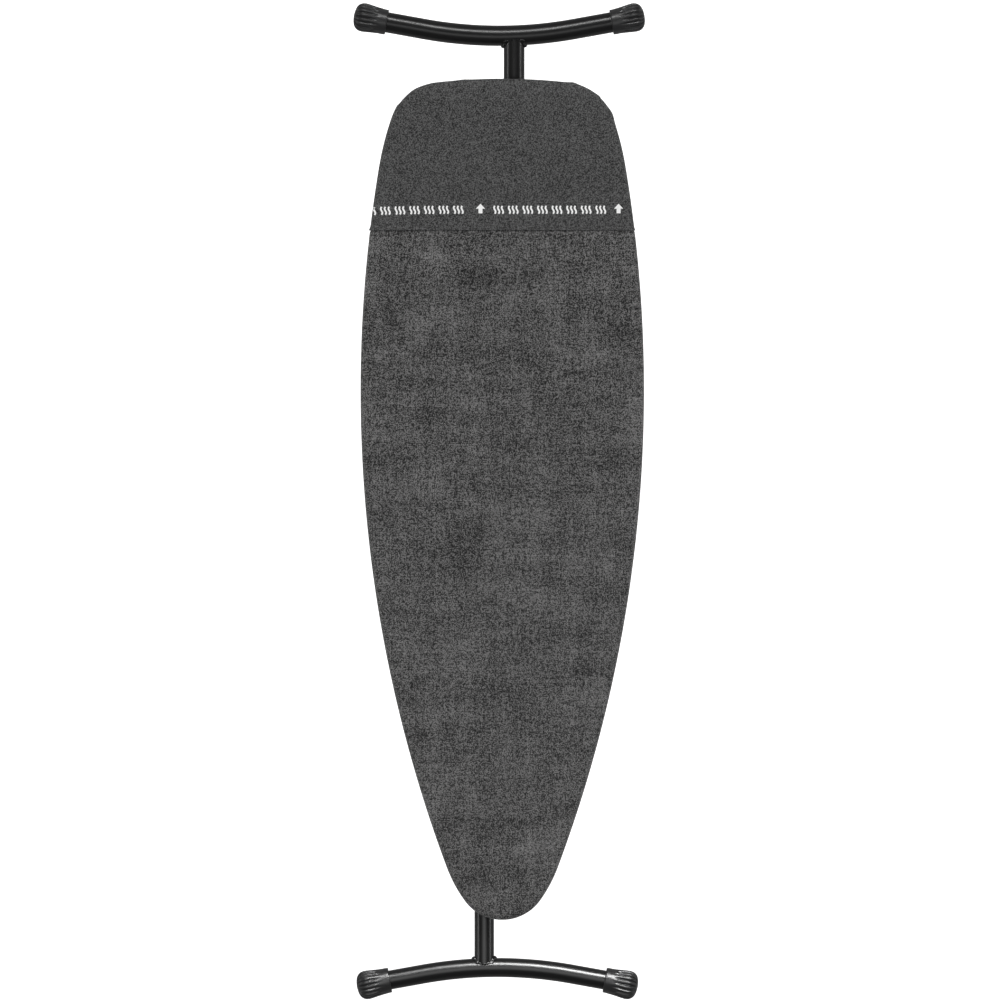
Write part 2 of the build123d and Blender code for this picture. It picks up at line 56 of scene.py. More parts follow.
def outline_stations(step):
    """Arc centre, radius, normal angle, side and running length for stations all round the board's edge."""
    arcs, x, y, phi = [], 0.0, END_Y, 0.0
    for radius, turn in OUTLINE_ARCS:
        cx, cy = x - radius * math.sin(phi), y - radius * math.cos(phi)
        end = phi + math.radians(turn)
        arcs.append((cx, cy, radius, phi, end))
        x, y, phi = cx + radius * math.sin(end), cy + radius * math.cos(end), end
    nose = x / math.sin(phi)
    arcs.append((0.0, y - nose * math.cos(phi), nose, phi, math.pi))
    right = []
    for cx, cy, r, a0, a1 in arcs:
        count = max(4, round(r * (a1 - a0) / step))
        right += [(cx, cy, r, a0 + (a1 - a0) * i / count) for i in range(count)]
    nose_arc = arcs[-1]
    right.append((nose_arc[0], nose_arc[1], nose_arc[2], math.pi))
    ring = [(cx, cy, r, a, 1) for cx, cy, r, a in right]
    ring += [(cx, cy, r, a, -1) for cx, cy, r, a in reversed(right[1:-1])]
    out, run, last = [], 0.0, None
    for cx, cy, r, a, side in ring:
        p = (side * (cx + r * math.sin(a)), cy + r * math.cos(a))
        run += math.dist(p, last) if last else 0.0
        last = p
        out.append((cx, cy, r, a, side, run))
    return out


def edge_point(station, inset):
    cx, cy, r, a, side, _ = station
    return BOARD_X + side * (cx + (r - inset) * math.sin(a)), cy + (r - inset) * math.cos(a)


def cloth_rise(x, y):
    """The slight unevenness of cloth over foam, in mm."""
    broad = noise.noise(Vector((x / 120, y / 150, 3.1)))
    fine = noise.noise(Vector((x / 38, y / 45, 7.7)))
    return 0.35 * broad + 0.12 * fine


def loft(name, rings, close_ring=True):
    """A mesh skin over rings of (x, y, z) points in mm, all with the same count."""
    n = len(rings[0])
    verts = [tuple(c * MM for c in p) for ring in rings for p in ring]
    faces = []
    for j in range(len(rings) - 1):
        for i in range(n if close_ring else n - 1):
            k = (i + 1) % n
            faces.append((j * n + i, j * n + k, (j + 1) * n + k, (j + 1) * n + i))
    mesh = bpy.data.meshes.new(name)
    mesh.from_pydata(verts, [], faces)
    mesh.validate()
    return mesh


def add_piece(mesh, name):
    obj = bpy.data.objects.new(name, mesh)
    bpy.context.scene.collection.objects.link(obj)
    return obj


def tidy_mesh(mesh, merge=0.00002, outward=True):
    bm = bmesh.new()
    bm.from_mesh(mesh)
    bmesh.ops.remove_doubles(bm, verts=bm.verts, dist=merge)
    bmesh.ops.dissolve_degenerate(bm, edges=bm.edges, dist=merge / 4)
    if outward:
        bmesh.ops.recalc_face_normals(bm, faces=bm.faces)
    bm.to_mesh(mesh)
    bm.free()
    mesh.polygons.foreach_set("use_smooth", [True] * len(mesh.polygons))


def cloth_rings():
    """Rings of the cover from the middle of the top, over the edge, under the frame and round the hem, and
    where the same points lay in the flat cloth, whose skirt ran straight on past the edge."""
    stations = outline_stations(3.0)
    inner = [edge_point(s, FLAT_INSET) for s in stations]
    edge = [edge_point(s, 0) for s in stations]
    rings, flat, reach = [], [], 0.0
    for t in (0.0, 0.12, 0.24, 0.38, 0.52, 0.66, 0.8, 0.92):
        ring = []
        for s in stations:
            x, y = edge_point(s, FLAT_INSET)
            sx, sy = BOARD_X, max(-596.0, min(592.0, y))
            px, py = sx + (x - sx) * t, sy + (y - sy) * t
            ring.append((px, py, CLOTH_TOP + cloth_rise(px, py)))
        rings.append(ring)
        flat.append([(px, py, 0.0) for px, py, _ in ring])
    profile = [(FLAT_INSET, CLOTH_TOP), (27, CLOTH_TOP - 0.05), (21, CLOTH_TOP - 0.15)]
    profile += [(16, CLOTH_TOP - 0.45), (12.5, CLOTH_TOP - 0.9)]
    for a in range(0, 91, 10):
        profile.append((10.5 - 10.3 * math.sin(math.radians(a)), 63.6 + 10.3 * math.cos(math.radians(a))))
    profile += [(0.2, 61.0), (0.2, 58.5)]
    for a in range(5, 91, 12):
        profile.append((11.2 - 11.0 * math.cos(math.radians(a)), 56.5 - 10.6 * math.sin(math.radians(a))))
    profile += [(14.5, 45.7), (18, 45.6), (22, 45.8), (26, 46.2), (29.4, 46.4)]
    hem = [(30.6, 47.4), (33.0, 48.2), (36.0, 47.3), (37.9, 44.8)]
    hem += [(37.0, 42.4), (34.2, 41.3), (31.4, 42.0), (30.3, 44.0)]
    # puckers in the edge: x, y, height and width
    puckers = [(-71, 672, 1.5, 4), (-62, 673, 0.8, 7), (114, 667, 1.4, 5), (161, 642, 1.2, 9)]
    puckers += [(176, 618, 1.5, 8), (-166, 636, 1.1, 10), (-140, 655, 0.9, 9)]
    steps = profile + hem
    for j, (inset, z) in enumerate(steps):
        down = max(0.0, min(1.0, (70.0 - z) / 24.0)) if j < len(profile) else 1.0
        under = max(0.0, min(1.0, (inset - 3.0) / 16.0)) if z < 56 else 0.0
        ring = []
        for s in stations:
            run = s[5]
            tight = min(1.0, 260.0 / s[2])
            slow = noise.noise(Vector((run / 46, 1.3, 0.4)))
            fold = noise.noise(Vector((run / (7.5 + 5.0 * (1 - tight)), z / 60, 2.6)))
            pull = 0.25 * slow * down + (0.25 + 0.9 * tight) * fold * under * 0.8
            lift = (0.5 + 1.1 * tight) * fold * under
            x, y = edge_point(s, inset + pull)
            if z > 50:
                for bx, by, height, wide in puckers:
                    d2 = (x - BOARD_X - bx) ** 2 + (y - by) ** 2
                    if d2 < (4 * wide) ** 2:
                        push = height * math.exp(-d2 / (2 * wide * wide)) * math.exp(-(((z - 63) / 9) ** 2))
                        x, y = edge_point(s, inset + pull - push)
            if j < 2:
                z_here = z + cloth_rise(x, y) * (1.0, 0.6)[j]
            else:
                z_here = z
            if inset > 12 and z < 56:
                z_here += min(lift, 1.6)
            ring.append((x, y, z_here))
        rings.append(ring)
        if j:
            reach += math.hypot(inset - steps[j - 1][0], z - steps[j - 1][1])
        flat.append([
            (a + (c - a) * reach / FLAT_INSET, b + (d - b) * reach / FLAT_INSET, 0.0)
            for (a, b), (c, d) in zip(inner, edge)
        ])
    return rings, flat


cloth_points, cloth_flat = cloth_rings()
cloth_mesh = loft("cloth", cloth_points)
flat_place = cloth_mesh.attributes.new("flat_cloth", "FLOAT_VECTOR", "POINT")
flat_place.data.foreach_set("vector", [c * MM for ring in cloth_flat for point in ring for c in point])
tidy_mesh(cloth_mesh, outward=False)


def cloth_part(name, heat):
    """One of the two cloths, cut from the whole cover along the seam."""
    mesh = cloth_mesh.copy()
    mesh.name = name
    bm = bmesh.new()
    bm.from_mesh(mesh)
    for y in (SEAM_Y - 6, SEAM_Y - 2.5, SEAM_Y - 0.8, SEAM_Y, SEAM_Y + 1.2, SEAM_Y + 3.5, SEAM_Y + 8):
        geom = bm.verts[:] + bm.edges[:] + bm.faces[:]
        bmesh.ops.bisect_plane(bm, geom=geom, plane_co=(0, y * MM, 0), plane_no=(0, 1, 0), dist=1e-7)
    geom = bm.verts[:] + bm.edges[:] + bm.faces[:]
    bmesh.ops.bisect_plane(
        bm, geom=geom, plane_co=(0, SEAM_Y * MM, 0), plane_no=(0, -1 if heat else 1, 0), dist=1e-7, clear_outer=True,
    )
    bm.normal_update()
    up = [f for f in bm.faces if f.calc_center_median().z > 0.0745]
    if sum(f.normal.z * f.calc_area() for f in up) < 0:
        bmesh.ops.reverse_faces(bm, faces=bm.faces)
    bm.normal_update()
    for v in bm.verts:
        d = v.co.y / MM - SEAM_Y
        loose = 1.0 + 1.1 * max(0.0, min(1.0, (-0.09 - v.co.x) / 0.06))
        if heat:
            lift = 0.9 * loose * math.exp(-(d / 4.0) ** 2)
        else:
            lift = -0.9 * math.exp(-((d + 0.4) / 1.6) ** 2)
        v.co += v.normal * lift * MM
    bm.to_mesh(mesh)
    bm.free()
    mesh.polygons.foreach_set("use_smooth", [True] * len(mesh.polygons))
    obj = add_piece(mesh, name)
    area = sum(p.area for p in mesh.polygons)
    solid = obj.modifiers.new("thickness", "SOLIDIFY")
    solid.thickness, solid.offset = CLOTH_T * MM, -1.0
    return obj, area


main_cloth, main_area = cloth_part("main_cloth", heat=False)
heat_cloth, heat_area = cloth_part("heat_cloth", heat=True)


def new_group(name, inputs, outputs):
    """An empty shader node group with named value sockets; returns it with its input and output nodes."""
    group = bpy.data.node_groups.new(name, "ShaderNodeTree")
    for label, kind, default in inputs:
        socket = group.interface.new_socket(label, in_out="INPUT", socket_type=kind)
        if default is not None:
            socket.default_value = default
    for label, kind in outputs:
        group.interface.new_socket(label, in_out="OUTPUT", socket_type=kind)
    return group, group.nodes.new("NodeGroupInput"), group.nodes.new("NodeGroupOutput")


def add_math(tree, operation, *values):
    """A Math node fed by numbers or sockets; returns its output."""
    node = tree.nodes.new("ShaderNodeMath")
    node.operation = operation
    for socket, value in zip(node.inputs, values):
        if isinstance(value, (int, float)):
            socket.default_value = value
        else:
            tree.links.new(value, socket)
    return node.outputs[0]


def add_noise(tree, vector, stretch, scale, detail, rough=0.5):
    """Noise on stretched coordinates; returns its value, which is about 0.5 on average."""
    place = tree.nodes.new("ShaderNodeMapping")
    place.inputs["Scale"].default_value = stretch
    tree.links.new(vector, place.inputs["Vector"])
    tex = tree.nodes.new("ShaderNodeTexNoise")
    tex.inputs["Scale"].default_value = scale
    tex.inputs["Detail"].default_value = detail
    tex.inputs["Roughness"].default_value = rough
    tree.links.new(place.outputs[0], tex.inputs["Vector"])
    return tex.outputs["Fac"]


def add_random(tree, a, b, detail):
    """Noise over two scalars, about 0.5 on average."""
    join = tree.nodes.new("ShaderNodeCombineXYZ")
    for socket, value in zip(join.inputs, (a, b)):
        tree.links.new(value, socket)
    tex = tree.nodes.new("ShaderNodeTexNoise")
    tex.noise_dimensions = "2D"
    tex.inputs["Scale"].default_value = 1.0
    tex.inputs["Detail"].default_value = detail
    tree.links.new(join.outputs[0], tex.inputs["Vector"])
    return tex.outputs["Fac"]


def make_yarn_group():
    """Plain weave with its own tone for each yarn and each crossing, plus painted shade from the yarns' rounding,
    lighter on their crowns and darker between them: the colour output is about 0 on average.
    """
    group, given, result = new_group(
        "plain_weave",
        [("Vector", "NodeSocketVector", None), ("Yarns per metre", "NodeSocketFloat", 700.0),
         ("Slub length", "NodeSocketFloat", 0.03), ("Streak", "NodeSocketFloat", 1.0),
         ("Fleck", "NodeSocketFloat", 1.0)],
        [("Tone_and_weave_shade", "NodeSocketFloat"), ("Height", "NodeSocketFloat")],
    )
    vector, count = given.outputs["Vector"], given.outputs["Yarns per metre"]
    split = group.nodes.new("ShaderNodeSeparateXYZ")
    group.links.new(vector, split.inputs[0])
    x, y = split.outputs[0], split.outputs[1]
    u, v = add_math(group, "MULTIPLY", x, count), add_math(group, "MULTIPLY", y, count)
    column, row = add_math(group, "FLOOR", u), add_math(group, "FLOOR", v)
    along_x = add_math(group, "DIVIDE", x, given.outputs["Slub length"])
    along_y = add_math(group, "DIVIDE", y, given.outputs["Slub length"])
    warp = add_random(group, add_math(group, "MULTIPLY", column, 7.31), along_y, 2.0)
    weft = add_random(group, along_x, add_math(group, "MULTIPLY", row, 7.31), 2.0)
    over = add_math(group, "PINGPONG", add_math(group, "ADD", column, row), 1.0)
    shade = add_math(group, "MULTIPLY_ADD", add_math(group, "SUBTRACT", warp, weft), over, weft)
    streak = add_math(group, "MULTIPLY", add_math(group, "SUBTRACT", shade, 0.5), given.outputs["Streak"])
    cell = group.nodes.new("ShaderNodeCombineXYZ")
    group.links.new(column, cell.inputs[0])
    group.links.new(row, cell.inputs[1])
    crossing = group.nodes.new("ShaderNodeTexWhiteNoise")
    crossing.noise_dimensions = "2D"
    group.links.new(cell.outputs[0], crossing.inputs["Vector"])
    fleck = add_math(group, "SUBTRACT", crossing.outputs["Value"], 0.5)
    fleck = add_math(group, "MULTIPLY", fleck, given.outputs["Fleck"])
    round_u = add_math(group, "SINE", add_math(group, "MULTIPLY", add_math(group, "FRACT", u), math.pi))
    round_v = add_math(group, "SINE", add_math(group, "MULTIPLY", add_math(group, "FRACT", v), math.pi))
    relief = add_math(group, "MULTIPLY", round_u, round_v)
    tone = add_math(group, "ADD", streak, fleck)
    # painted shade: the yarns' rounding lifts the colour on each yarn's crown and darkens it in the gaps between yarns
    tone = add_math(group, "ADD", tone, add_math(group, "MULTIPLY_ADD", relief, 0.3, -0.12))
    group.links.new(tone, result.inputs["Tone_and_weave_shade"])
    group.links.new(add_math(group, "MULTIPLY_ADD", fleck, 0.3, relief), result.inputs["Height"])
    return group


yarn_group = make_yarn_group()


def cloth_material(name, dark, light, base, yarns, slub, streak, fleck, bands, rough, sheen, bump):
    """Woven cloth: the yarn tone, which carries painted shade between the yarns, runs between a dark and a light
    colour, over faint bands from the loom.
    """
    mat = bpy.data.materials.new(name)
    mat.use_nodes = True
    tree = mat.node_tree
    bsdf = tree.nodes["Principled BSDF"]
    coords = tree.nodes.new("ShaderNodeAttribute")
    coords.attribute_name = "flat_cloth"
    yarn = tree.nodes.new("ShaderNodeGroup")
    yarn.node_tree = yarn_group
    yarn.inputs["Yarns per metre"].default_value = yarns
    yarn.inputs["Slub length"].default_value = slub
    yarn.inputs["Streak"].default_value = streak
    yarn.inputs["Fleck"].default_value = fleck
    tree.links.new(coords.outputs["Vector"], yarn.inputs["Vector"])
    across = add_noise(tree, coords.outputs["Vector"], (0.25, 1.0, 1.0), 24.0, 1.0)
    along = add_noise(tree, coords.outputs["Vector"], (1.0, 0.2, 1.0), 24.0, 1.0)
    level = add_math(tree, "ADD", yarn.outputs["Tone_and_weave_shade"], base)
    level = add_math(tree, "ADD", level, add_math(tree, "MULTIPLY", add_math(tree, "SUBTRACT", across, 0.5), bands))
    along = add_math(tree, "SUBTRACT", along, 0.5)
    level = add_math(tree, "ADD", level, add_math(tree, "MULTIPLY", along, bands * 0.8))
    ramp = tree.nodes.new("ShaderNodeMix")
    ramp.data_type = "RGBA"
    ramp.clamp_factor = True
    tree.links.new(level, ramp.inputs[0])
    ramp.inputs[6].default_value = (*dark, 1)
    ramp.inputs[7].default_value = (*light, 1)
    tree.links.new(ramp.outputs[2], bsdf.inputs["Base Color"])
    relief = tree.nodes.new("ShaderNodeBump")
    relief.inputs["Strength"].default_value = bump
    relief.inputs["Distance"].default_value = 0.0004
    tree.links.new(yarn.outputs["Height"], relief.inputs["Height"])
    tree.links.new(relief.outputs[0], bsdf.inputs["Normal"])
    bsdf.inputs["Roughness"].default_value = rough
    bsdf.inputs["Specular IOR Level"].default_value = 0.2
    bsdf.inputs["Sheen Weight"].default_value = sheen
    bsdf.inputs["Sheen Roughness"].default_value = 0.5
    return mat


main_mat = cloth_material(
    "woven_grey_cotton", (0.008, 0.008, 0.008), (0.244, 0.2405, 0.2395), base=0.27, yarns=690.0, slub=0.035, streak=1.0,
    fleck=0.86, bands=0.42, rough=0.9, sheen=0.1, bump=0.3,
)
heat_mat = cloth_material(
    "silicone_heat_cloth", (0.008, 0.008, 0.008), (0.172, 0.172, 0.172), base=0.295, yarns=720.0, slub=0.003,
    streak=0.15, fleck=0.72, bands=0.1, rough=0.62, sheen=0.05, bump=0.2,
)
main_cloth.data.materials.append(main_mat)
heat_cloth.data.materials.append(heat_mat)
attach(main_cloth, "board")
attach(heat_cloth, "board")
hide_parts("cover_main")
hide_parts("cover_heat_zone")


# ---------------------------------------------------------------- cover stitching
# Black polyester lockstitch: one row beside the seam between the two cloths, and one all round the hem,
# each stitch a short thread lying on the cloth.
def stitch_tree():
    tree = bpy.data.node_groups.new("stitch_row", "GeometryNodeTree")
    tree.interface.new_socket("Geometry", in_out="INPUT", socket_type="NodeSocketGeometry")
    sizes = {}
    for label, default in (("Spacing", 0.003), ("Stitch length", 0.0022), ("Thread width", 0.0006)):
        socket = tree.interface.new_socket(label, in_out="INPUT", socket_type="NodeSocketFloat")
        socket.default_value = default
        sizes[label] = socket.identifier
    thread = tree.interface.new_socket("Thread", in_out="INPUT", socket_type="NodeSocketMaterial")
    sizes["Thread"] = thread.identifier
    tree.interface.new_socket("Geometry", in_out="OUTPUT", socket_type="NodeSocketGeometry")
    given, result = tree.nodes.new("NodeGroupInput"), tree.nodes.new("NodeGroupOutput")
    to_curve = tree.nodes.new("GeometryNodeMeshToCurve")
    resample = tree.nodes.new("GeometryNodeResampleCurve")
    resample.mode = "LENGTH"
    ball = tree.nodes.new("GeometryNodeMeshIcoSphere")
    ball.inputs["Radius"].default_value = 0.5
    ball.inputs["Subdivisions"].default_value = 2
    size = tree.nodes.new("ShaderNodeCombineXYZ")
    shape = tree.nodes.new("GeometryNodeTransform")
    tangent = tree.nodes.new("GeometryNodeInputTangent")
    align = tree.nodes.new("FunctionNodeAlignRotationToVector")
    align.axis = "X"
    place = tree.nodes.new("GeometryNodeInstanceOnPoints")
    real = tree.nodes.new("GeometryNodeRealizeInstances")
    paint = tree.nodes.new("GeometryNodeSetMaterial")
    link = tree.links.new
    link(given.outputs["Geometry"], to_curve.inputs["Mesh"])
    link(to_curve.outputs["Curve"], resample.inputs["Curve"])
    link(given.outputs["Spacing"], resample.inputs["Length"])
    link(given.outputs["Stitch length"], size.inputs["X"])
    link(given.outputs["Thread width"], size.inputs["Y"])
    link(given.outputs["Thread width"], size.inputs["Z"])
    link(ball.outputs["Mesh"], shape.inputs["Geometry"])
    link(size.outputs[0], shape.inputs["Scale"])
    link(tangent.outputs[0], align.inputs["Vector"])
    link(resample.outputs["Curve"], place.inputs["Points"])
    link(shape.outputs["Geometry"], place.inputs["Instance"])
    link(align.outputs[0], place.inputs["Rotation"])
    link(place.outputs["Instances"], real.inputs["Geometry"])
    link(real.outputs["Geometry"], paint.inputs["Geometry"])
    link(given.outputs["Thread"], paint.inputs["Material"])
    link(paint.outputs["Geometry"], result.inputs[0])
    return tree, sizes


def bake_nodes(obj, name):
    """The result of an object's Geometry Nodes as a plain mesh piece; the source object is removed."""
    depsgraph = bpy.context.evaluated_depsgraph_get()
    mesh = bpy.data.meshes.new_from_object(obj.evaluated_get(depsgraph), depsgraph=depsgraph)
    bpy.data.objects.remove(obj)
    mesh.name = name
    return add_piece(mesh, name)


def plain_material(name, colour, rough, metallic=0.0, coat=0.0):
    mat = bpy.data.materials.new(name)
    mat.use_nodes = True
    bsdf = mat.node_tree.nodes["Principled BSDF"]
    bsdf.inputs["Base Color"].default_value = (*colour, 1)
    bsdf.inputs["Roughness"].default_value = rough
    bsdf.inputs["Metallic"].default_value = metallic
    bsdf.inputs["Coat Weight"].default_value = coat
    return mat


def thread_material():
    """Twisted sewing thread: fine slanting ply marks along the stitches."""
    mat = plain_material("black_thread", (0.012, 0.012, 0.012), 0.7)
    tree = mat.node_tree
    coords = tree.nodes.new("ShaderNodeTexCoord")
    ply = add_noise(tree, coords.outputs["Object"], (1.0, 1.0, 1.0), 2500.0, 1.0)
    rough = add_math(tree, "MULTIPLY_ADD", ply, 0.3, 0.55)
    tree.links.new(rough, tree.nodes["Principled BSDF"].inputs["Roughness"])
    return mat


stitches, stitch_sockets = stitch_tree()
thread_mat = thread_material()


def stitch_row(name, points, spacing, length, width, closed=False):
    mesh = bpy.data.meshes.new(name + "_line")
    count = len(points)
    edges = [(i, i + 1) for i in range(count - 1)] + ([(count - 1, 0)] if closed else [])
    mesh.from_pydata([tuple(c * MM for c in p) for p in points], edges, [])
    line = add_piece(mesh, name + "_line")
    mod = line.modifiers.new("stitches", "NODES")
    mod.node_group = stitches
    mod[stitch_sockets["Spacing"]] = spacing * MM
    mod[stitch_sockets["Stitch length"]] = length * MM
    mod[stitch_sockets["Thread width"]] = width * MM
    mod[stitch_sockets["Thread"]] = thread_mat
    row = bake_nodes(line, name)
    row.data.polygons.foreach_set("use_smooth", [True] * len(row.data.polygons))
    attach(row, "board")
    return row


seam_y = SEAM_Y + 3.6
seam_line = [(x, seam_y, CLOTH_TOP + cloth_rise(x, seam_y) + 0.42) for x in range(-172, 184, 4)]
seam_stitches = stitch_row("seam_stitches", seam_line, 3.4, 2.6, 0.55)
hem_line = [(*edge_point(s, 29.0), 45.2) for s in outline_stations(6.0)]
hem_stitches = stitch_row("hem_stitches", hem_line, 4.2, 3.2, 0.6, closed=True)


# ---------------------------------------------------------------- heat zone marks
# A printed row across the coated cloth: up-pointing arrows that say which way the zone lies, with
# rising-heat strokes between them, in thin white silicone ink.
INK_Y = 464.0
INK_LIFT = 0.2


def cloth_surface(obj):
    """A lookup of the cloth's outer skin, straight down from above."""
    bm = bmesh.new()
    bm.from_mesh(obj.data)
    tree = BVHTree.FromBMesh(bm)
    bm.free()
    return tree


heat_surface = cloth_surface(heat_cloth)


def on_cloth(x, y, lift):
    """The point above or below the heat cloth's outer skin at x, y, in metres."""
    spot, normal, _, _ = heat_surface.ray_cast(Vector((x * MM, y * MM, 0.2)), Vector((0, 0, -1)))
    if spot is None:
        return None
    return spot + (normal if normal.z > 0 else -normal) * lift * MM


def ink_strip(verts, faces, left_edge, right_edge):
    """A strip of ink between two edges, pressed into the cloth's skin."""
    base, n = len(verts), len(left_edge)
    points = [on_cloth(x, y, lift) for lift in (INK_LIFT, -0.1) for side in (left_edge, right_edge) for x, y in side]
    if any(p is None for p in points):
        return
    verts += [tuple(p) for p in points]
    tl, tr, bl, br = base, base + n, base + 2 * n, base + 3 * n
    for i in range(n - 1):
        faces.append((tl + i, tr + i, tr + i + 1, tl + i + 1))
        faces.append((bl + i + 1, br + i + 1, br + i, bl + i))
        faces.append((tl + i + 1, bl + i + 1, bl + i, tl + i))
        faces.append((tr + i, br + i, br + i + 1, tr + i + 1))
    faces.append((tl, bl, br, tr))
    faces.append((tl + n - 1, tr + n - 1, br + n - 1, bl + n - 1))


def droop(x):
    """The cloth is pulled round the left edge, so the row of marks sags a little there."""
    return -1.8 * max(0.0, (-60.0 - x) / 130.0) ** 2


def heat_stroke(verts, faces, x, height, width, lean):
    steps, left, right = 14, [], []
    for i in range(steps + 1):
        t = i / steps
        cx = x + lean * math.sin(t * 2 * math.pi)
        cy = INK_Y + droop(x) - height / 2 + height * t
        slope = lean * 2 * math.pi * math.cos(t * 2 * math.pi) / height
        half = width / 2 / math.hypot(1, slope)
        left.append((cx - half, cy + half * slope))
        right.append((cx + half, cy - half * slope))
    ink_strip(verts, faces, left, right)


def up_arrow(verts, faces, x):
    head, stem, tall = 7.4, 3.2, 15.4
    y = INK_Y + 2.0 + droop(x)
    top, shoulder, foot = y + tall / 2, y + tall / 2 - 8.0, y - tall / 2
    rows = [i / 6 for i in range(7)]
    ink_strip(
        verts, faces, [(x - 0.05 - (head - 0.05) * t, top + (shoulder - top) * t) for t in rows],
        [(x + 0.05 + (head - 0.05) * t, top + (shoulder - top) * t) for t in rows],
    )
    ink_strip(
        verts, faces, [(x - stem, shoulder + (foot - shoulder) * t) for t in rows],
        [(x + stem, shoulder + (foot - shoulder) * t) for t in rows],
    )


def make_marks():
    verts, faces = [], []
    for x in (-30.0, 191.5):
        up_arrow(verts, faces, x)
    for start, stop in ((-212.0, -53.0), (-7.0, 171.0), (214.0, 228.0)):
        x, count = start, 0
        while x < stop:
            heat_stroke(verts, faces, x, 12.6, 2.7, 1.25)
            count += 1
            x += 6.1 if count % 3 else 11.2
    mesh = bpy.data.meshes.new("heat_zone_marks")
    mesh.from_pydata(verts, [], faces)
    tidy_mesh(mesh, merge=0.000001)
    mesh.polygons.foreach_set("use_smooth", [False] * len(mesh.polygons))
    return mesh


def ink_material():
    """White silicone ink, slightly broken up where the cloth's grain shows through."""
    mat = plain_material("white_silicone_ink", (0.85, 0.85, 0.84), 0.5)
    tree = mat.node_tree
    coords = tree.nodes.new("ShaderNodeTexCoord")
    grain = add_noise(tree, coords.outputs["Object"], (1, 1, 1), 900.0, 2.0)
    ramp = tree.nodes.new("ShaderNodeMix")
    ramp.data_type = "RGBA"
    ramp.inputs[6].default_value = (0.7, 0.7, 0.7, 1)
    ramp.inputs[7].default_value = (1.0, 1.0, 0.99, 1)
    tree.links.new(grain, ramp.inputs[0])
    tree.links.new(ramp.outputs[2], tree.nodes["Principled BSDF"].inputs["Base Color"])
    return mat


marks = add_piece(make_marks(), "heat_zone_marks")
marks.data.materials.append(ink_material())
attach(marks, "board")


# ---------------------------------------------------------------- foam and felt pad
# An 8 mm pad of pale open-cell foam with a felt face, cut to the board's outline with a knife, so its
# edge is square below and rounds over where the cover pulls it down.
PAD_BOTTOM, PAD_TOP, PAD_INSET = 65.4, 73.6, 3.2


def make_pad():
    stations = outline_stations(5.0)
    profile = [
        (34, PAD_BOTTOM), (PAD_INSET + 6, PAD_BOTTOM), (PAD_INSET + 1.6, PAD_BOTTOM), (PAD_INSET + 1, PAD_BOTTOM + 0.6),
        (PAD_INSET + 1.1, 68.0), (PAD_INSET + 2.2, 70.2), (PAD_INSET + 4.6, 72.0),
        (PAD_INSET + 8.5, 73.0), (18, PAD_TOP - 0.2),
        (34, PAD_TOP),
    ]
    rings = []
    for t in (0.0, 0.4, 0.75):
        rings.append([])
        for s in stations:
            x, y = edge_point(s, 34)
            sy = max(-596.0, min(592.0, y))
            rings[-1].append((BOARD_X + (x - BOARD_X) * t, sy + (y - sy) * t, PAD_BOTTOM))
    rings += [[(*edge_point(s, inset), z) for s in stations] for inset, z in profile]
    for t in (0.75, 0.4, 0.0):
        rings.append([])
        for s in stations:
            x, y = edge_point(s, 34)
            sy = max(-596.0, min(592.0, y))
            px, py = BOARD_X + (x - BOARD_X) * t, sy + (y - sy) * t
            rings[-1].append((px, py, PAD_TOP + 0.6 * cloth_rise(px, py)))
    mesh = loft("foam_sheet", rings)
    tidy_mesh(mesh)
    return mesh


def foam_material():
    """Pale open-cell foam: cream grey, with fine pits in the bump and painted shade in the colour, mottled darker
    towards the middle of each pit.
    """
    mat = plain_material("open_cell_foam", (0.6, 0.59, 0.55), 0.95)
    tree = mat.node_tree
    coords = tree.nodes.new("ShaderNodeTexCoord")
    pits_and_pit_shade = tree.nodes.new("ShaderNodeTexVoronoi")
    pits_and_pit_shade.inputs["Scale"].default_value = 900.0
    tree.links.new(coords.outputs["Object"], pits_and_pit_shade.inputs["Vector"])
    # painted shade: the colour darkens towards the middle of each pit
    ramp = tree.nodes.new("ShaderNodeMix")
    ramp.data_type = "RGBA"
    ramp.inputs[6].default_value = (0.42, 0.41, 0.38, 1)
    ramp.inputs[7].default_value = (0.68, 0.67, 0.63, 1)
    tree.links.new(pits_and_pit_shade.outputs["Distance"], ramp.inputs[0])
    bsdf = tree.nodes["Principled BSDF"]
    tree.links.new(ramp.outputs[2], bsdf.inputs["Base Color"])
    relief = tree.nodes.new("ShaderNodeBump")
    relief.inputs["Strength"].default_value = 0.5
    relief.inputs["Distance"].default_value = 0.0008
    tree.links.new(pits_and_pit_shade.outputs["Distance"], relief.inputs["Height"])
    tree.links.new(relief.outputs[0], bsdf.inputs["Normal"])
    return mat


foam = add_piece(make_pad(), "foam_sheet")
foam.data.materials.append(foam_material())
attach(foam, "board")
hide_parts("foam_pad")


# ---------------------------------------------------------------- expanded-metal top
# Steel sheet slit and stretched into diamond strands, welded on to the frame tube and coated with it;
# steam leaves through the openings.
STRAND_X, STRAND_Y = 17.0, 40.0


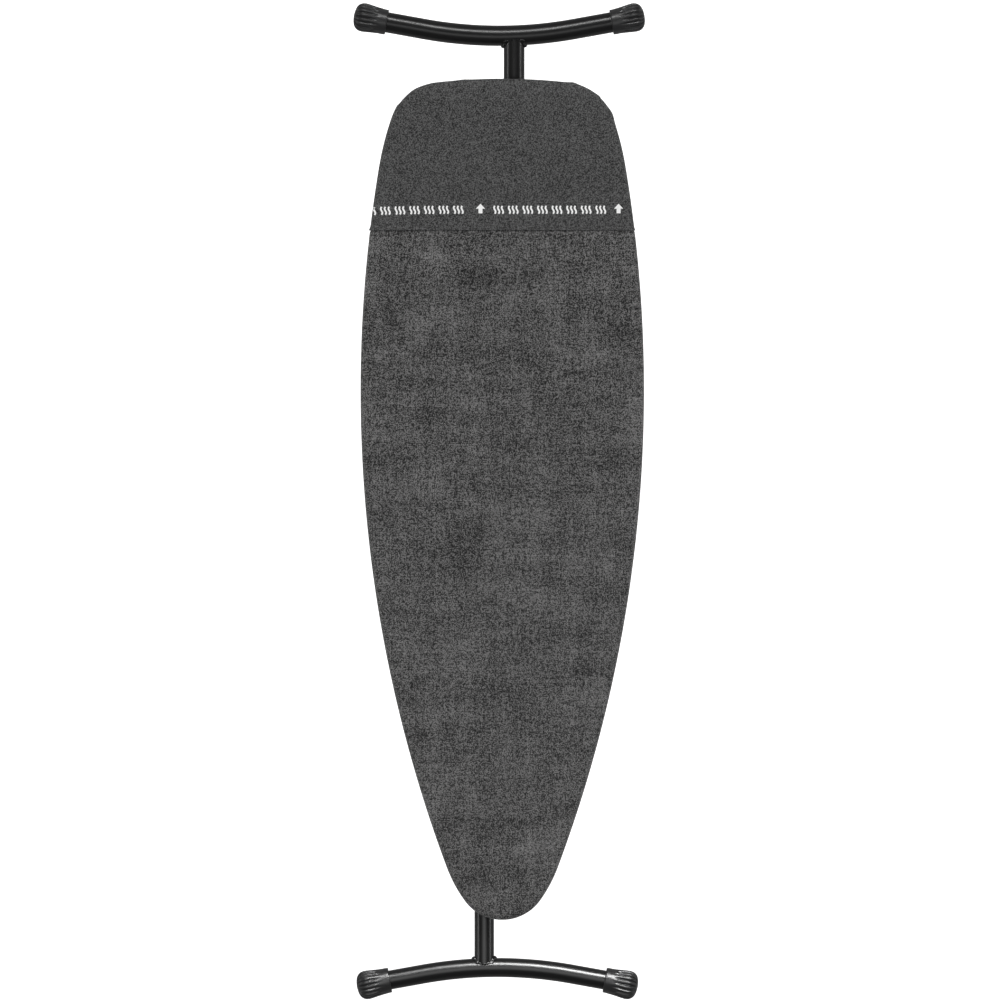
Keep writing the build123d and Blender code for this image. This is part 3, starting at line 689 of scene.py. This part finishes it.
def make_diamonds():
    """Whole diamonds of the lattice that lie inside the sheet's margin."""
    stations = outline_stations(12.0)
    border = [edge_point(s, 17) for s in stations]

    def inside(x, y):
        hit = False
        for (xa, ya), (xb, yb) in zip(border, border[1:] + border[:1]):
            if (ya > y) != (yb > y) and x < xa + (xb - xa) * (y - ya) / (yb - ya):
                hit = not hit
        return hit

    verts, faces, index = [], [], {}

    def corner(x, y):
        key = (round(x, 2), round(y, 2))
        if key not in index:
            index[key] = len(verts)
            verts.append((x * MM, y * MM, 64.6 * MM))
        return index[key]

    for row in range(-34, 35):
        cy = row * STRAND_Y / 2
        for col in range(-15, 16):
            cx = BOARD_X + (col + 0.5 * (row % 2)) * STRAND_X
            half_x, half_y = STRAND_X / 2, STRAND_Y / 2
            corners = [(cx + half_x, cy), (cx, cy + half_y), (cx - half_x, cy), (cx, cy - half_y)]
            if all(inside(x, y) for x, y in corners):
                faces.append(tuple(corner(x, y) for x, y in corners))
    mesh = bpy.data.meshes.new("diamonds")
    mesh.from_pydata(verts, [], faces)
    return mesh


def strand_tree():
    """Opens each diamond: an inset copy of every face is cut away, which leaves the strands."""
    tree = bpy.data.node_groups.new("expanded_sheet", "GeometryNodeTree")
    tree.interface.new_socket("Geometry", in_out="INPUT", socket_type="NodeSocketGeometry")
    opening = tree.interface.new_socket("Opening", in_out="INPUT", socket_type="NodeSocketFloat")
    opening.default_value = 0.7
    paint_in = tree.interface.new_socket("Coat", in_out="INPUT", socket_type="NodeSocketMaterial")
    tree.interface.new_socket("Geometry", in_out="OUTPUT", socket_type="NodeSocketGeometry")
    given, result = tree.nodes.new("NodeGroupInput"), tree.nodes.new("NodeGroupOutput")
    inset = tree.nodes.new("GeometryNodeExtrudeMesh")
    inset.inputs["Offset Scale"].default_value = 0.0
    shrink = tree.nodes.new("GeometryNodeScaleElements")
    cut = tree.nodes.new("GeometryNodeDeleteGeometry")
    cut.domain = "FACE"
    real = tree.nodes.new("GeometryNodeRealizeInstances")
    paint = tree.nodes.new("GeometryNodeSetMaterial")
    link = tree.links.new
    link(given.outputs["Geometry"], inset.inputs["Mesh"])
    link(inset.outputs["Mesh"], shrink.inputs["Geometry"])
    link(inset.outputs["Top"], shrink.inputs["Selection"])
    link(given.outputs["Opening"], shrink.inputs["Scale"])
    link(shrink.outputs["Geometry"], cut.inputs["Geometry"])
    link(inset.outputs["Top"], cut.inputs["Selection"])
    link(cut.outputs["Geometry"], real.inputs["Geometry"])
    link(real.outputs["Geometry"], paint.inputs["Geometry"])
    link(given.outputs["Coat"], paint.inputs["Material"])
    link(paint.outputs["Geometry"], result.inputs[0])
    return tree, opening.identifier, paint_in.identifier


def make_coat_group():
    """Powder coat: faint orange peel as Height, and small changes of gloss as Gloss."""
    group, given, result = new_group(
        "powder_coat",
        [("Vector", "NodeSocketVector", None), ("Base gloss", "NodeSocketFloat", 0.3),
         ("Wear", "NodeSocketFloat", 0.05)],
        [("Gloss", "NodeSocketFloat"), ("Height", "NodeSocketFloat")],
    )
    peel = add_noise(group, given.outputs["Vector"], (1, 1, 1), 700.0, 1.0)
    cloud = add_noise(group, given.outputs["Vector"], (1, 1, 1), 22.0, 3.0)
    spread = add_math(group, "MULTIPLY", add_math(group, "SUBTRACT", cloud, 0.5), given.outputs["Wear"])
    group.links.new(add_math(group, "ADD", spread, given.outputs["Base gloss"]), result.inputs["Gloss"])
    group.links.new(peel, result.inputs["Height"])
    return group


coat_group = make_coat_group()


def coat_material(name, colour, rough, wear, peel, metallic=0.0, coat=0.0, specular=0.5):
    """A painted, plated or moulded finish with its own gloss, cloudiness and surface grain."""
    mat = plain_material(name, colour, rough, metallic, coat)
    tree = mat.node_tree
    bsdf = tree.nodes["Principled BSDF"]
    bsdf.inputs["Specular IOR Level"].default_value = specular
    bsdf.inputs["Coat Roughness"].default_value = 0.12
    coords = tree.nodes.new("ShaderNodeTexCoord")
    finish = tree.nodes.new("ShaderNodeGroup")
    finish.node_tree = coat_group
    finish.inputs["Base gloss"].default_value = rough
    finish.inputs["Wear"].default_value = wear
    tree.links.new(coords.outputs["Object"], finish.inputs["Vector"])
    tree.links.new(finish.outputs["Gloss"], bsdf.inputs["Roughness"])
    relief = tree.nodes.new("ShaderNodeBump")
    relief.inputs["Strength"].default_value = peel
    relief.inputs["Distance"].default_value = 0.0003
    tree.links.new(finish.outputs["Height"], relief.inputs["Height"])
    tree.links.new(relief.outputs[0], bsdf.inputs["Normal"])
    return mat


mesh_coat = coat_material("satin_black_mesh_coat", (0.02, 0.02, 0.021), 0.45, 0.15, 0.1)
strands, opening_socket, strand_coat_socket = strand_tree()
lattice = add_piece(make_diamonds(), "diamonds")
mod = lattice.modifiers.new("strands", "NODES")
mod.node_group = strands
mod[opening_socket] = 0.7
mod[strand_coat_socket] = mesh_coat
expanded = bake_nodes(lattice, "expanded_sheet")
tidy_mesh(expanded.data, merge=0.00001, outward=False)
RIM_SECTION = ((9.3, 64.1), (9.3, 65.1), (20, 65.1), (20, 64.1), (9.3, 64.1))
rim_rings = [[(*edge_point(s, inset), z) for s in outline_stations(6.0)] for inset, z in RIM_SECTION]
rim = loft("sheet_rim", rim_rings)
tidy_mesh(rim)
rim.materials.append(mesh_coat)
sheet_rim = add_piece(rim, "sheet_rim")
solid = expanded.modifiers.new("thickness", "SOLIDIFY")
solid.thickness, solid.offset = 0.9 * MM, 0.0
for piece in (expanded, sheet_rim):
    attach(piece, "board")
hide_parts("mesh_top")


# ---------------------------------------------------------------- leg tubes, foot bars and their welds
# Each leg is one straight steel tube, notched over a bowed foot bar and welded to it, with gloss black
# powder coat over tube, bar and weld metal.
LEG_Z = 23.0
BOW_R, BOW_ANGLE = 680.0, math.radians(10.2)
NOSE_LEG = dict(
    name="nose", body="nose_leg", r=15.7, x=-24.0, top=448.0, foot=-752.5, bar_r=15.4, bar_x=-3.0, span=226.5, away=-1,
)
WIDE_LEG = dict(
    name="wide", body="wide_leg", r=16.7, x=24.0, top=-457.0, foot=744.5, bar_r=16.5, bar_x=0.0, span=234.5, away=1,
)

leg_paint = coat_material("gloss_black_powder_coat", (0.004, 0.004, 0.0042), 0.3, 0.04, 0.02, specular=0.5)
frame_paint = coat_material("black_frame_coat", (0.006, 0.006, 0.0065), 0.3, 0.08, 0.08)


def bar_centre(leg, x):
    """Centre line of the bowed foot bar: y and its slope at x."""
    x, s, x1 = x - leg["bar_x"], leg["away"], BOW_R * math.sin(BOW_ANGLE)
    if abs(x) <= x1:
        drop = BOW_R - math.sqrt(BOW_R * BOW_R - x * x)
        return leg["foot"] + s * drop, s * x / math.sqrt(BOW_R * BOW_R - x * x)
    drop = BOW_R * (1 - math.cos(BOW_ANGLE)) + (abs(x) - x1) * math.tan(BOW_ANGLE)
    return leg["foot"] + s * drop, s * math.copysign(math.tan(BOW_ANGLE), x)


def make_foot_bar(leg):
    end, r, around = leg["span"] - 10.0, leg["bar_r"], 56
    rings = []
    for i in range(121):
        x = leg["bar_x"] - end + 2 * end * i / 120
        y, slope = bar_centre(leg, x)
        norm = math.hypot(1, slope)
        radii = [0.01, r - 1.5, r] if i == 0 else ([r, r - 1.5, 0.01] if i == 120 else [r])
        for radius in radii:
            ring = []
            for k in range(around):
                a = 2 * math.pi * k / around
                out, up = radius * math.cos(a), radius * math.sin(a)
                ring.append((x - slope / norm * radius * math.cos(a), y + out / norm, LEG_Z + up))
            rings.append(ring)
    mesh = loft("foot_bar_" + leg["name"], rings)
    tidy_mesh(mesh)
    return mesh


LAP = 8.6


def notch(leg, a, radius):
    """How far the leg tube runs at angle a round it: coped to the foot bar, and cut off square at LAP."""
    x, dz = leg["x"] + radius * math.cos(a), radius * math.sin(a)
    y, _ = bar_centre(leg, x)
    room = leg["bar_r"] ** 2 - dz * dz
    lap = min(LAP, leg["bar_r"] - (math.sqrt(room) if room > 0 else 0.0))
    return y - leg["away"] * (leg["bar_r"] - lap)


LEG_WALL = 1.6


def make_leg_tube(leg):
    r, s, around = leg["r"], leg["away"], 64
    top = leg["top"] - s * 8.0
    angles = [2 * math.pi * k / around for k in range(around)]
    rings = []
    for radius in (r - LEG_WALL, r - 0.5, r):
        y = top + s * (0.5 if radius == r else 0.0)
        rings.append([(leg["x"] + radius * math.cos(a), y, LEG_Z + radius * math.sin(a)) for a in angles])
    # closer rings towards the notch keep the tube straight-sided right up to the weld
    for t in (0.02, 0.2, 0.4, 0.6, 0.8, 0.95, 0.975, 0.99, 0.9965, 0.9994, 1.0):
        ring = []
        for a in angles:
            ring.append((leg["x"] + r * math.cos(a), top + (notch(leg, a, r) - top) * t, LEG_Z + r * math.sin(a)))
        rings.append(ring)
    bore = r - LEG_WALL
    for ends in ([notch(leg, a, r) for a in angles], [top] * around):
        rings.append([(leg["x"] + bore * math.cos(a), y, LEG_Z + bore * math.sin(a)) for a, y in zip(angles, ends)])
    mesh = loft("leg_tube_" + leg["name"], rings)
    tidy_mesh(mesh)
    return mesh


def make_weld(leg):
    """Weld metal: a bead round the notch, swollen in the two corners, and a pad above and below that
    fills from the cope to a straight toe across the foot bar."""
    r, s, R, along, around = leg["r"], leg["away"], leg["bar_r"], 160, 14
    path = []
    for i in range(along):
        a = 2 * math.pi * i / along
        path.append(Vector((leg["x"] + r * math.cos(a), notch(leg, a, r), LEG_Z + r * math.sin(a))))
    rings = []
    for i, p in enumerate(path):
        a = 2 * math.pi * i / along
        ahead = (path[(i + 1) % along] - path[i - 1]).normalized()
        out = Vector((math.cos(a), 0, math.sin(a)))
        out = (out - ahead * out.dot(ahead)).normalized()
        side = ahead.cross(out)
        corner = abs(math.cos(a)) ** 4
        ripple = 1.0 + 0.3 * noise.noise(Vector((i * 0.22, leg["x"], 1.0))) + 0.1 * math.sin(i * 1.3)
        size = (1.0 + 3.0 * corner) * ripple
        centre = p + Vector((out.x, 0, out.z)) * 0.6 * corner + Vector((0, s * 0.6 * corner, 0))
        turns = [2 * math.pi * k / around for k in range(around)]
        rings.append([tuple(centre + (out * math.cos(b) + side * math.sin(b)) * size) for b in turns])
    rings.append(rings[0])
    mesh = loft("foot_weld_" + leg["name"], rings)
    tidy_mesh(mesh)
    bm = bmesh.new()
    bm.from_mesh(mesh)
    columns, rows = 44, 10
    for face in (-1, 1):
        skin = {}
        for i in range(columns + 1):
            t = 2 * i / columns - 1
            x = leg["x"] + t * (r + 0.4)
            dz = r * math.sqrt(max(0.0, 1 - min(1.0, abs(t)) ** 2))
            room = R * R - dz * dz
            start = min(LAP - 1.5, R - (math.sqrt(room) if room > 0 else 0.0)) - 1.2
            toe = LAP + 0.7 + 0.35 * math.sin(i * 1.1 + leg["x"]) - 2.2 * abs(t) ** 8
            y, _ = bar_centre(leg, x)
            for j in range(rows + 1):
                d = max(0.3, start + (toe - start) * j / rows)
                high = math.sqrt(max(0.0, R * R - (R - d) ** 2))
                puff = 1.5 * math.sin(math.pi * min(1.0, 0.12 + 0.88 * j / rows)) ** 0.6 * (1 - 0.5 * abs(t) ** 6)
                for layer, lift in ((0, puff), (1, -1.2)):
                    k = (R + lift) / R
                    place = (x * MM, (y - s * (R - d) * k) * MM, (LEG_Z + face * high * k) * MM)
                    skin[i, j, layer] = bm.verts.new(place)
        for i in range(columns):
            for j in range(rows):
                cell = [(i, j), (i + 1, j), (i + 1, j + 1), (i, j + 1)]
                for layer in (0, 1):
                    bm.faces.new([skin[a, b, layer] for a, b in cell])
            for j in (0, rows):
                bm.faces.new([skin[i, j, 0], skin[i + 1, j, 0], skin[i + 1, j, 1], skin[i, j, 1]])
        for j in range(rows):
            for i in (0, columns):
                bm.faces.new([skin[i, j, 0], skin[i, j + 1, 0], skin[i, j + 1, 1], skin[i, j, 1]])
    bmesh.ops.recalc_face_normals(bm, faces=bm.faces)
    bm.to_mesh(mesh)
    bm.free()
    mesh.polygons.foreach_set("use_smooth", [True] * len(mesh.polygons))
    return mesh


for leg in (NOSE_LEG, WIDE_LEG):
    for mesh, node in (
        (make_foot_bar(leg), "foot_bar_" + leg["name"]),
        (make_leg_tube(leg), "leg_tube_" + leg["name"]),
        (make_weld(leg), "foot_weld_" + leg["name"]),
    ):
        piece = add_piece(mesh, node + "_coated")
        mesh.materials.append(leg_paint)
        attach(piece, leg["body"])
        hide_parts(node)
for name in ("leg_gussets_nose", "leg_gussets_wide", "hinge_tube", "slide_tube"):
    nodes[name].data.materials.clear()
    nodes[name].data.materials.append(leg_paint)


# ---------------------------------------------------------------- foot caps
# Moulded dark grey caps pushed over the foot bars: a plain sleeve, then a bulb with gripping ribs that
# stands a little proud of the bar on the floor side.
CAP_LEN, CAP_RIBS = 54.4, 18
RIB_START, RIB_RUN, RIB_DEPTH = 14.0, 16.0, 4.2
cap_plastic = coat_material("ribbed_cap_plastic", (0.016, 0.016, 0.0165), 0.34, 0.06, 0.12, specular=0.55)


def make_cap(leg, side, seed):
    s, around = leg["away"], CAP_RIBS * 12
    bar_r = leg["bar_r"]
    profile = [
        (6, 0.02), (6, bar_r - 0.3), (0.6, bar_r + 0.15), (0.0, bar_r + 0.7), (0.0, 19.3), (0.5, 20.0), (2, 20.2),
        (6, 20.35), (10, 20.5), (14, 20.75), (18, 21.1), (21, 21.4), (24, 21.75), (27, 22.1), (30, 22.5),
        (33, 22.8), (36, 23.05), (38.5, 23.1), (41, 22.8), (43.6, 22.2), (46, 21.1), (48.1, 19.6), (49.9, 17.7),
        (51.4, 15.4), (52.5, 12.7), (53.3, 9.6), (53.9, 6.2), (54.2, 3.0), (CAP_LEN, 0.02),
    ]
    tip = leg["span"] - 1.0
    x0 = tip - 54.0 * math.cos(BOW_ANGLE)
    y0, _ = bar_centre(leg, leg["bar_x"] + x0)
    ca, sa = math.cos(BOW_ANGLE), s * math.sin(BOW_ANGLE)
    rings = []
    for j, (u, r) in enumerate(profile):
        ring = []
        grow = max(0.0, min(1.0, (u - RIB_START) / RIB_RUN)) if j > 7 else 0.0
        shift = 1.2 * s * max(0.0, min(1.0, u / 36.0)) if j > 7 else 0.0
        for k in range(around):
            a = 2 * math.pi * k / around
            rib = math.cos(a * CAP_RIBS + 0.5 * math.sin(2 * a + seed))
            uneven = 0.75 + 0.35 * noise.noise(Vector((math.cos(a) * 2.2, math.sin(a) * 2.2, seed)))
            groove = (0.5 - 0.5 * rib) ** 2.6 * grow * uneven * RIB_DEPTH * min(1.0, r / 11.0)
            radius = max(0.02, r - groove)
            w, z = radius * math.cos(a) + shift, radius * math.sin(a)
            ring.append((leg["bar_x"] + side * (x0 + u * ca - w * sa), y0 + u * sa + w * ca, LEG_Z + z))
        rings.append(ring)
    mesh = loft("cap", rings)
    tidy_mesh(mesh)
    return mesh


for leg in (NOSE_LEG, WIDE_LEG):
    for side, label in ((-1, "left"), (1, "right")):
        node = f"foot_cap_{leg['name']}_{label}"
        mesh = make_cap(leg, side, leg["foot"] * 0.01 + side)
        mesh.materials.append(cap_plastic)
        piece = add_piece(mesh, node + "_ribbed")
        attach(piece, leg["body"])
        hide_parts(node)


# ---------------------------------------------------------------- frame, braces and running gear
# The welded frame tube and braces under the top, the galvanised rails and brackets, the nylon shoes,
# bushes and plugs, the bright rod and plated fasteners, and the rubber stops.
galvanised = coat_material("galvanised_sheet", (0.42, 0.42, 0.43), 0.42, 0.3, 0.15, metallic=1.0)
bright_rod = coat_material("ground_rod", (0.62, 0.62, 0.62), 0.18, 0.1, 0.05, metallic=1.0)
zinc = coat_material("bright_zinc", (0.55, 0.56, 0.58), 0.3, 0.2, 0.08, metallic=1.0)
spring_steel = coat_material("oiled_spring_steel", (0.2, 0.2, 0.21), 0.35, 0.2, 0.1, metallic=1.0)
nylon = coat_material("black_nylon", (0.02, 0.02, 0.021), 0.5, 0.1, 0.25)
plug_plastic = coat_material("moulded_plug_plastic", (0.016, 0.016, 0.017), 0.55, 0.1, 0.3)
grip_plastic = coat_material("soft_grip_plastic", (0.03, 0.03, 0.032), 0.6, 0.1, 0.4)
rubber = coat_material("black_rubber", (0.012, 0.012, 0.012), 0.8, 0.1, 0.4)
cord_braid = coat_material("braided_cord", (0.5, 0.5, 0.48), 0.85, 0.1, 1.0)

FINISHES = [
    (frame_paint, ["board_frame", "brace_nose", "brace_rail_end", "brace_lock", "brace_middle", "brace_hinge_front",
                   "brace_hinge_back", "brace_wide_end"]),
    (galvanised, ["slide_rail_left", "slide_rail_right", "hinge_bracket_left", "hinge_bracket_right", "lock_housing",
                  "hook_bracket"]),
    (bright_rod, ["lock_rod"]),
    (zinc, ["frame_screws", "housing_rivets", "lever_pin", "hook_pin", "pivot_bolt", "pivot_nut", "pivot_washers",
            "pivot_sleeve_nose", "pivot_sleeve_wide", "slide_spigots", "latch_stud", "release_lever"]),
    (spring_steel, ["jam_plate", "lock_spring"]),
    (nylon, ["hinge_bushes", "glide_shoe_left", "glide_shoe_right", "rod_clamp", "pivot_spacer"]),
    (plug_plastic, ["leg_plug_nose", "leg_plug_wide", "hinge_tube_plugs", "transport_hook"]),
    (grip_plastic, ["lever_grip"]),
    (rubber, ["rail_stops", "leg_bumpers"]),
    (cord_braid, ["cover_drawcord"]),
]
for finish, names in FINISHES:
    for name in names:
        nodes[name].data.materials.clear()
        nodes[name].data.materials.append(finish)


# ---------------------------------------------------------------- floor, light and camera
# A plain pale floor at the level of the opened feet, soft light from overhead and from the wide end, and
# a long lens straight above the ironing face.
def make_floor():
    mesh = bpy.data.meshes.new("floor")
    size, z = 14.0, -0.93
    mesh.from_pydata([(-size, -size, z), (size, -size, z), (size, size, z), (-size, size, z)], [], [(0, 1, 2, 3)])
    mat = bpy.data.materials.new("pale_floor")
    mat.use_nodes = True
    tree = mat.node_tree
    bsdf = tree.nodes["Principled BSDF"]
    bsdf.inputs["Base Color"].default_value = (0.85, 0.85, 0.85, 1)
    bsdf.inputs["Roughness"].default_value = 0.9
    bsdf.inputs["Emission Color"].default_value = (1, 1, 1, 1)
    bsdf.inputs["Emission Strength"].default_value = 0.75
    see_through = tree.nodes.new("ShaderNodeBsdfTransparent")
    side = tree.nodes.new("ShaderNodeNewGeometry")
    ray = tree.nodes.new("ShaderNodeLightPath")
    dim = tree.nodes.new("ShaderNodeEmission")
    dim.inputs["Strength"].default_value = 0.28
    choose = tree.nodes.new("ShaderNodeMixShader")
    mix = tree.nodes.new("ShaderNodeMixShader")
    tree.links.new(ray.outputs["Is Glossy Ray"], choose.inputs[0])
    tree.links.new(bsdf.outputs[0], choose.inputs[1])
    tree.links.new(dim.outputs[0], choose.inputs[2])
    tree.links.new(side.outputs["Backfacing"], mix.inputs[0])
    tree.links.new(choose.outputs[0], mix.inputs[1])
    tree.links.new(see_through.outputs[0], mix.inputs[2])
    tree.links.new(mix.outputs[0], tree.nodes["Material Output"].inputs["Surface"])
    mesh.materials.append(mat)
    return add_piece(mesh, "floor")


make_floor()


def add_light(name, place, aim, width, height, power, shown_in="both", spread=180):
    """A soft rectangular light; shown_in says whether it gives diffuse light, reflections or both."""
    data = bpy.data.lights.new(name, "AREA")
    data.shape, data.size, data.size_y = "RECTANGLE", width, height
    data.energy = power
    data.spread = math.radians(spread)
    light = bpy.data.objects.new(name, data)
    light.location = place
    light.rotation_euler = (Vector(aim) - Vector(place)).to_track_quat("-Z", "Y").to_euler()
    light.visible_camera = False
    light.visible_diffuse = shown_in != "reflections"
    light.visible_glossy = shown_in != "diffuse"
    bpy.context.scene.collection.objects.link(light)
    return light


add_light("overhead", (0.0, -0.6, 8.5), (0, 0, 0), 5.0, 5.0, 215, shown_in="diffuse")
add_light("wide_end_strip", (0.0, 5.8, 5.0), (0, 0, 0), 4.4, 0.8, 250)
add_light("nose_sheen", (0.5, 1.25, 2.0), (0.06, -0.75, 0.02), 1.2, 0.7, 6.5, shown_in="reflections", spread=35)
add_light("nose_overhead", (0.0, -0.75, 3.2), (0.0, -0.75, 0), 5.0, 2.4, 9.0, shown_in="reflections", spread=60)
add_light("left_softbox", (-6.0, 0.0, 1.5), (0, 0, 0), 4.0, 0.9, 60)
add_light("right_softbox", (6.0, 0.0, 1.5), (0, 0, 0), 4.0, 0.9, 60)

world = bpy.data.worlds.new("studio")
world.use_nodes = True
tree = world.node_tree
soft_fill = tree.nodes["Background"]
soft_fill.inputs["Color"].default_value = (1, 1, 1, 1)
soft_fill.inputs["Strength"].default_value = 0.3
reflected = tree.nodes.new("ShaderNodeBackground")
reflected.inputs["Strength"].default_value = 0.16
seen = tree.nodes.new("ShaderNodeBackground")
seen.inputs["Strength"].default_value = 1.0
ray = tree.nodes.new("ShaderNodeLightPath")
in_gloss, in_camera = tree.nodes.new("ShaderNodeMixShader"), tree.nodes.new("ShaderNodeMixShader")
tree.links.new(ray.outputs["Is Glossy Ray"], in_gloss.inputs[0])
tree.links.new(soft_fill.outputs[0], in_gloss.inputs[1])
tree.links.new(reflected.outputs[0], in_gloss.inputs[2])
tree.links.new(ray.outputs["Is Camera Ray"], in_camera.inputs[0])
tree.links.new(in_gloss.outputs[0], in_camera.inputs[1])
tree.links.new(seen.outputs[0], in_camera.inputs[2])
tree.links.new(in_camera.outputs[0], tree.nodes["World Output"].inputs["Surface"])
bpy.context.scene.world = world
bpy.context.scene.view_settings.view_transform = "Standard"

lens = bpy.data.cameras.new("overhead_lens")
lens.lens, lens.sensor_width = 600.0, 36.0
lens.clip_end = 120.0
camera = bpy.data.objects.new("overhead_camera", lens)
camera.location = (0.0013, -0.0014, 26.80)
bpy.context.scene.collection.objects.link(camera)
bpy.context.scene.camera = camera
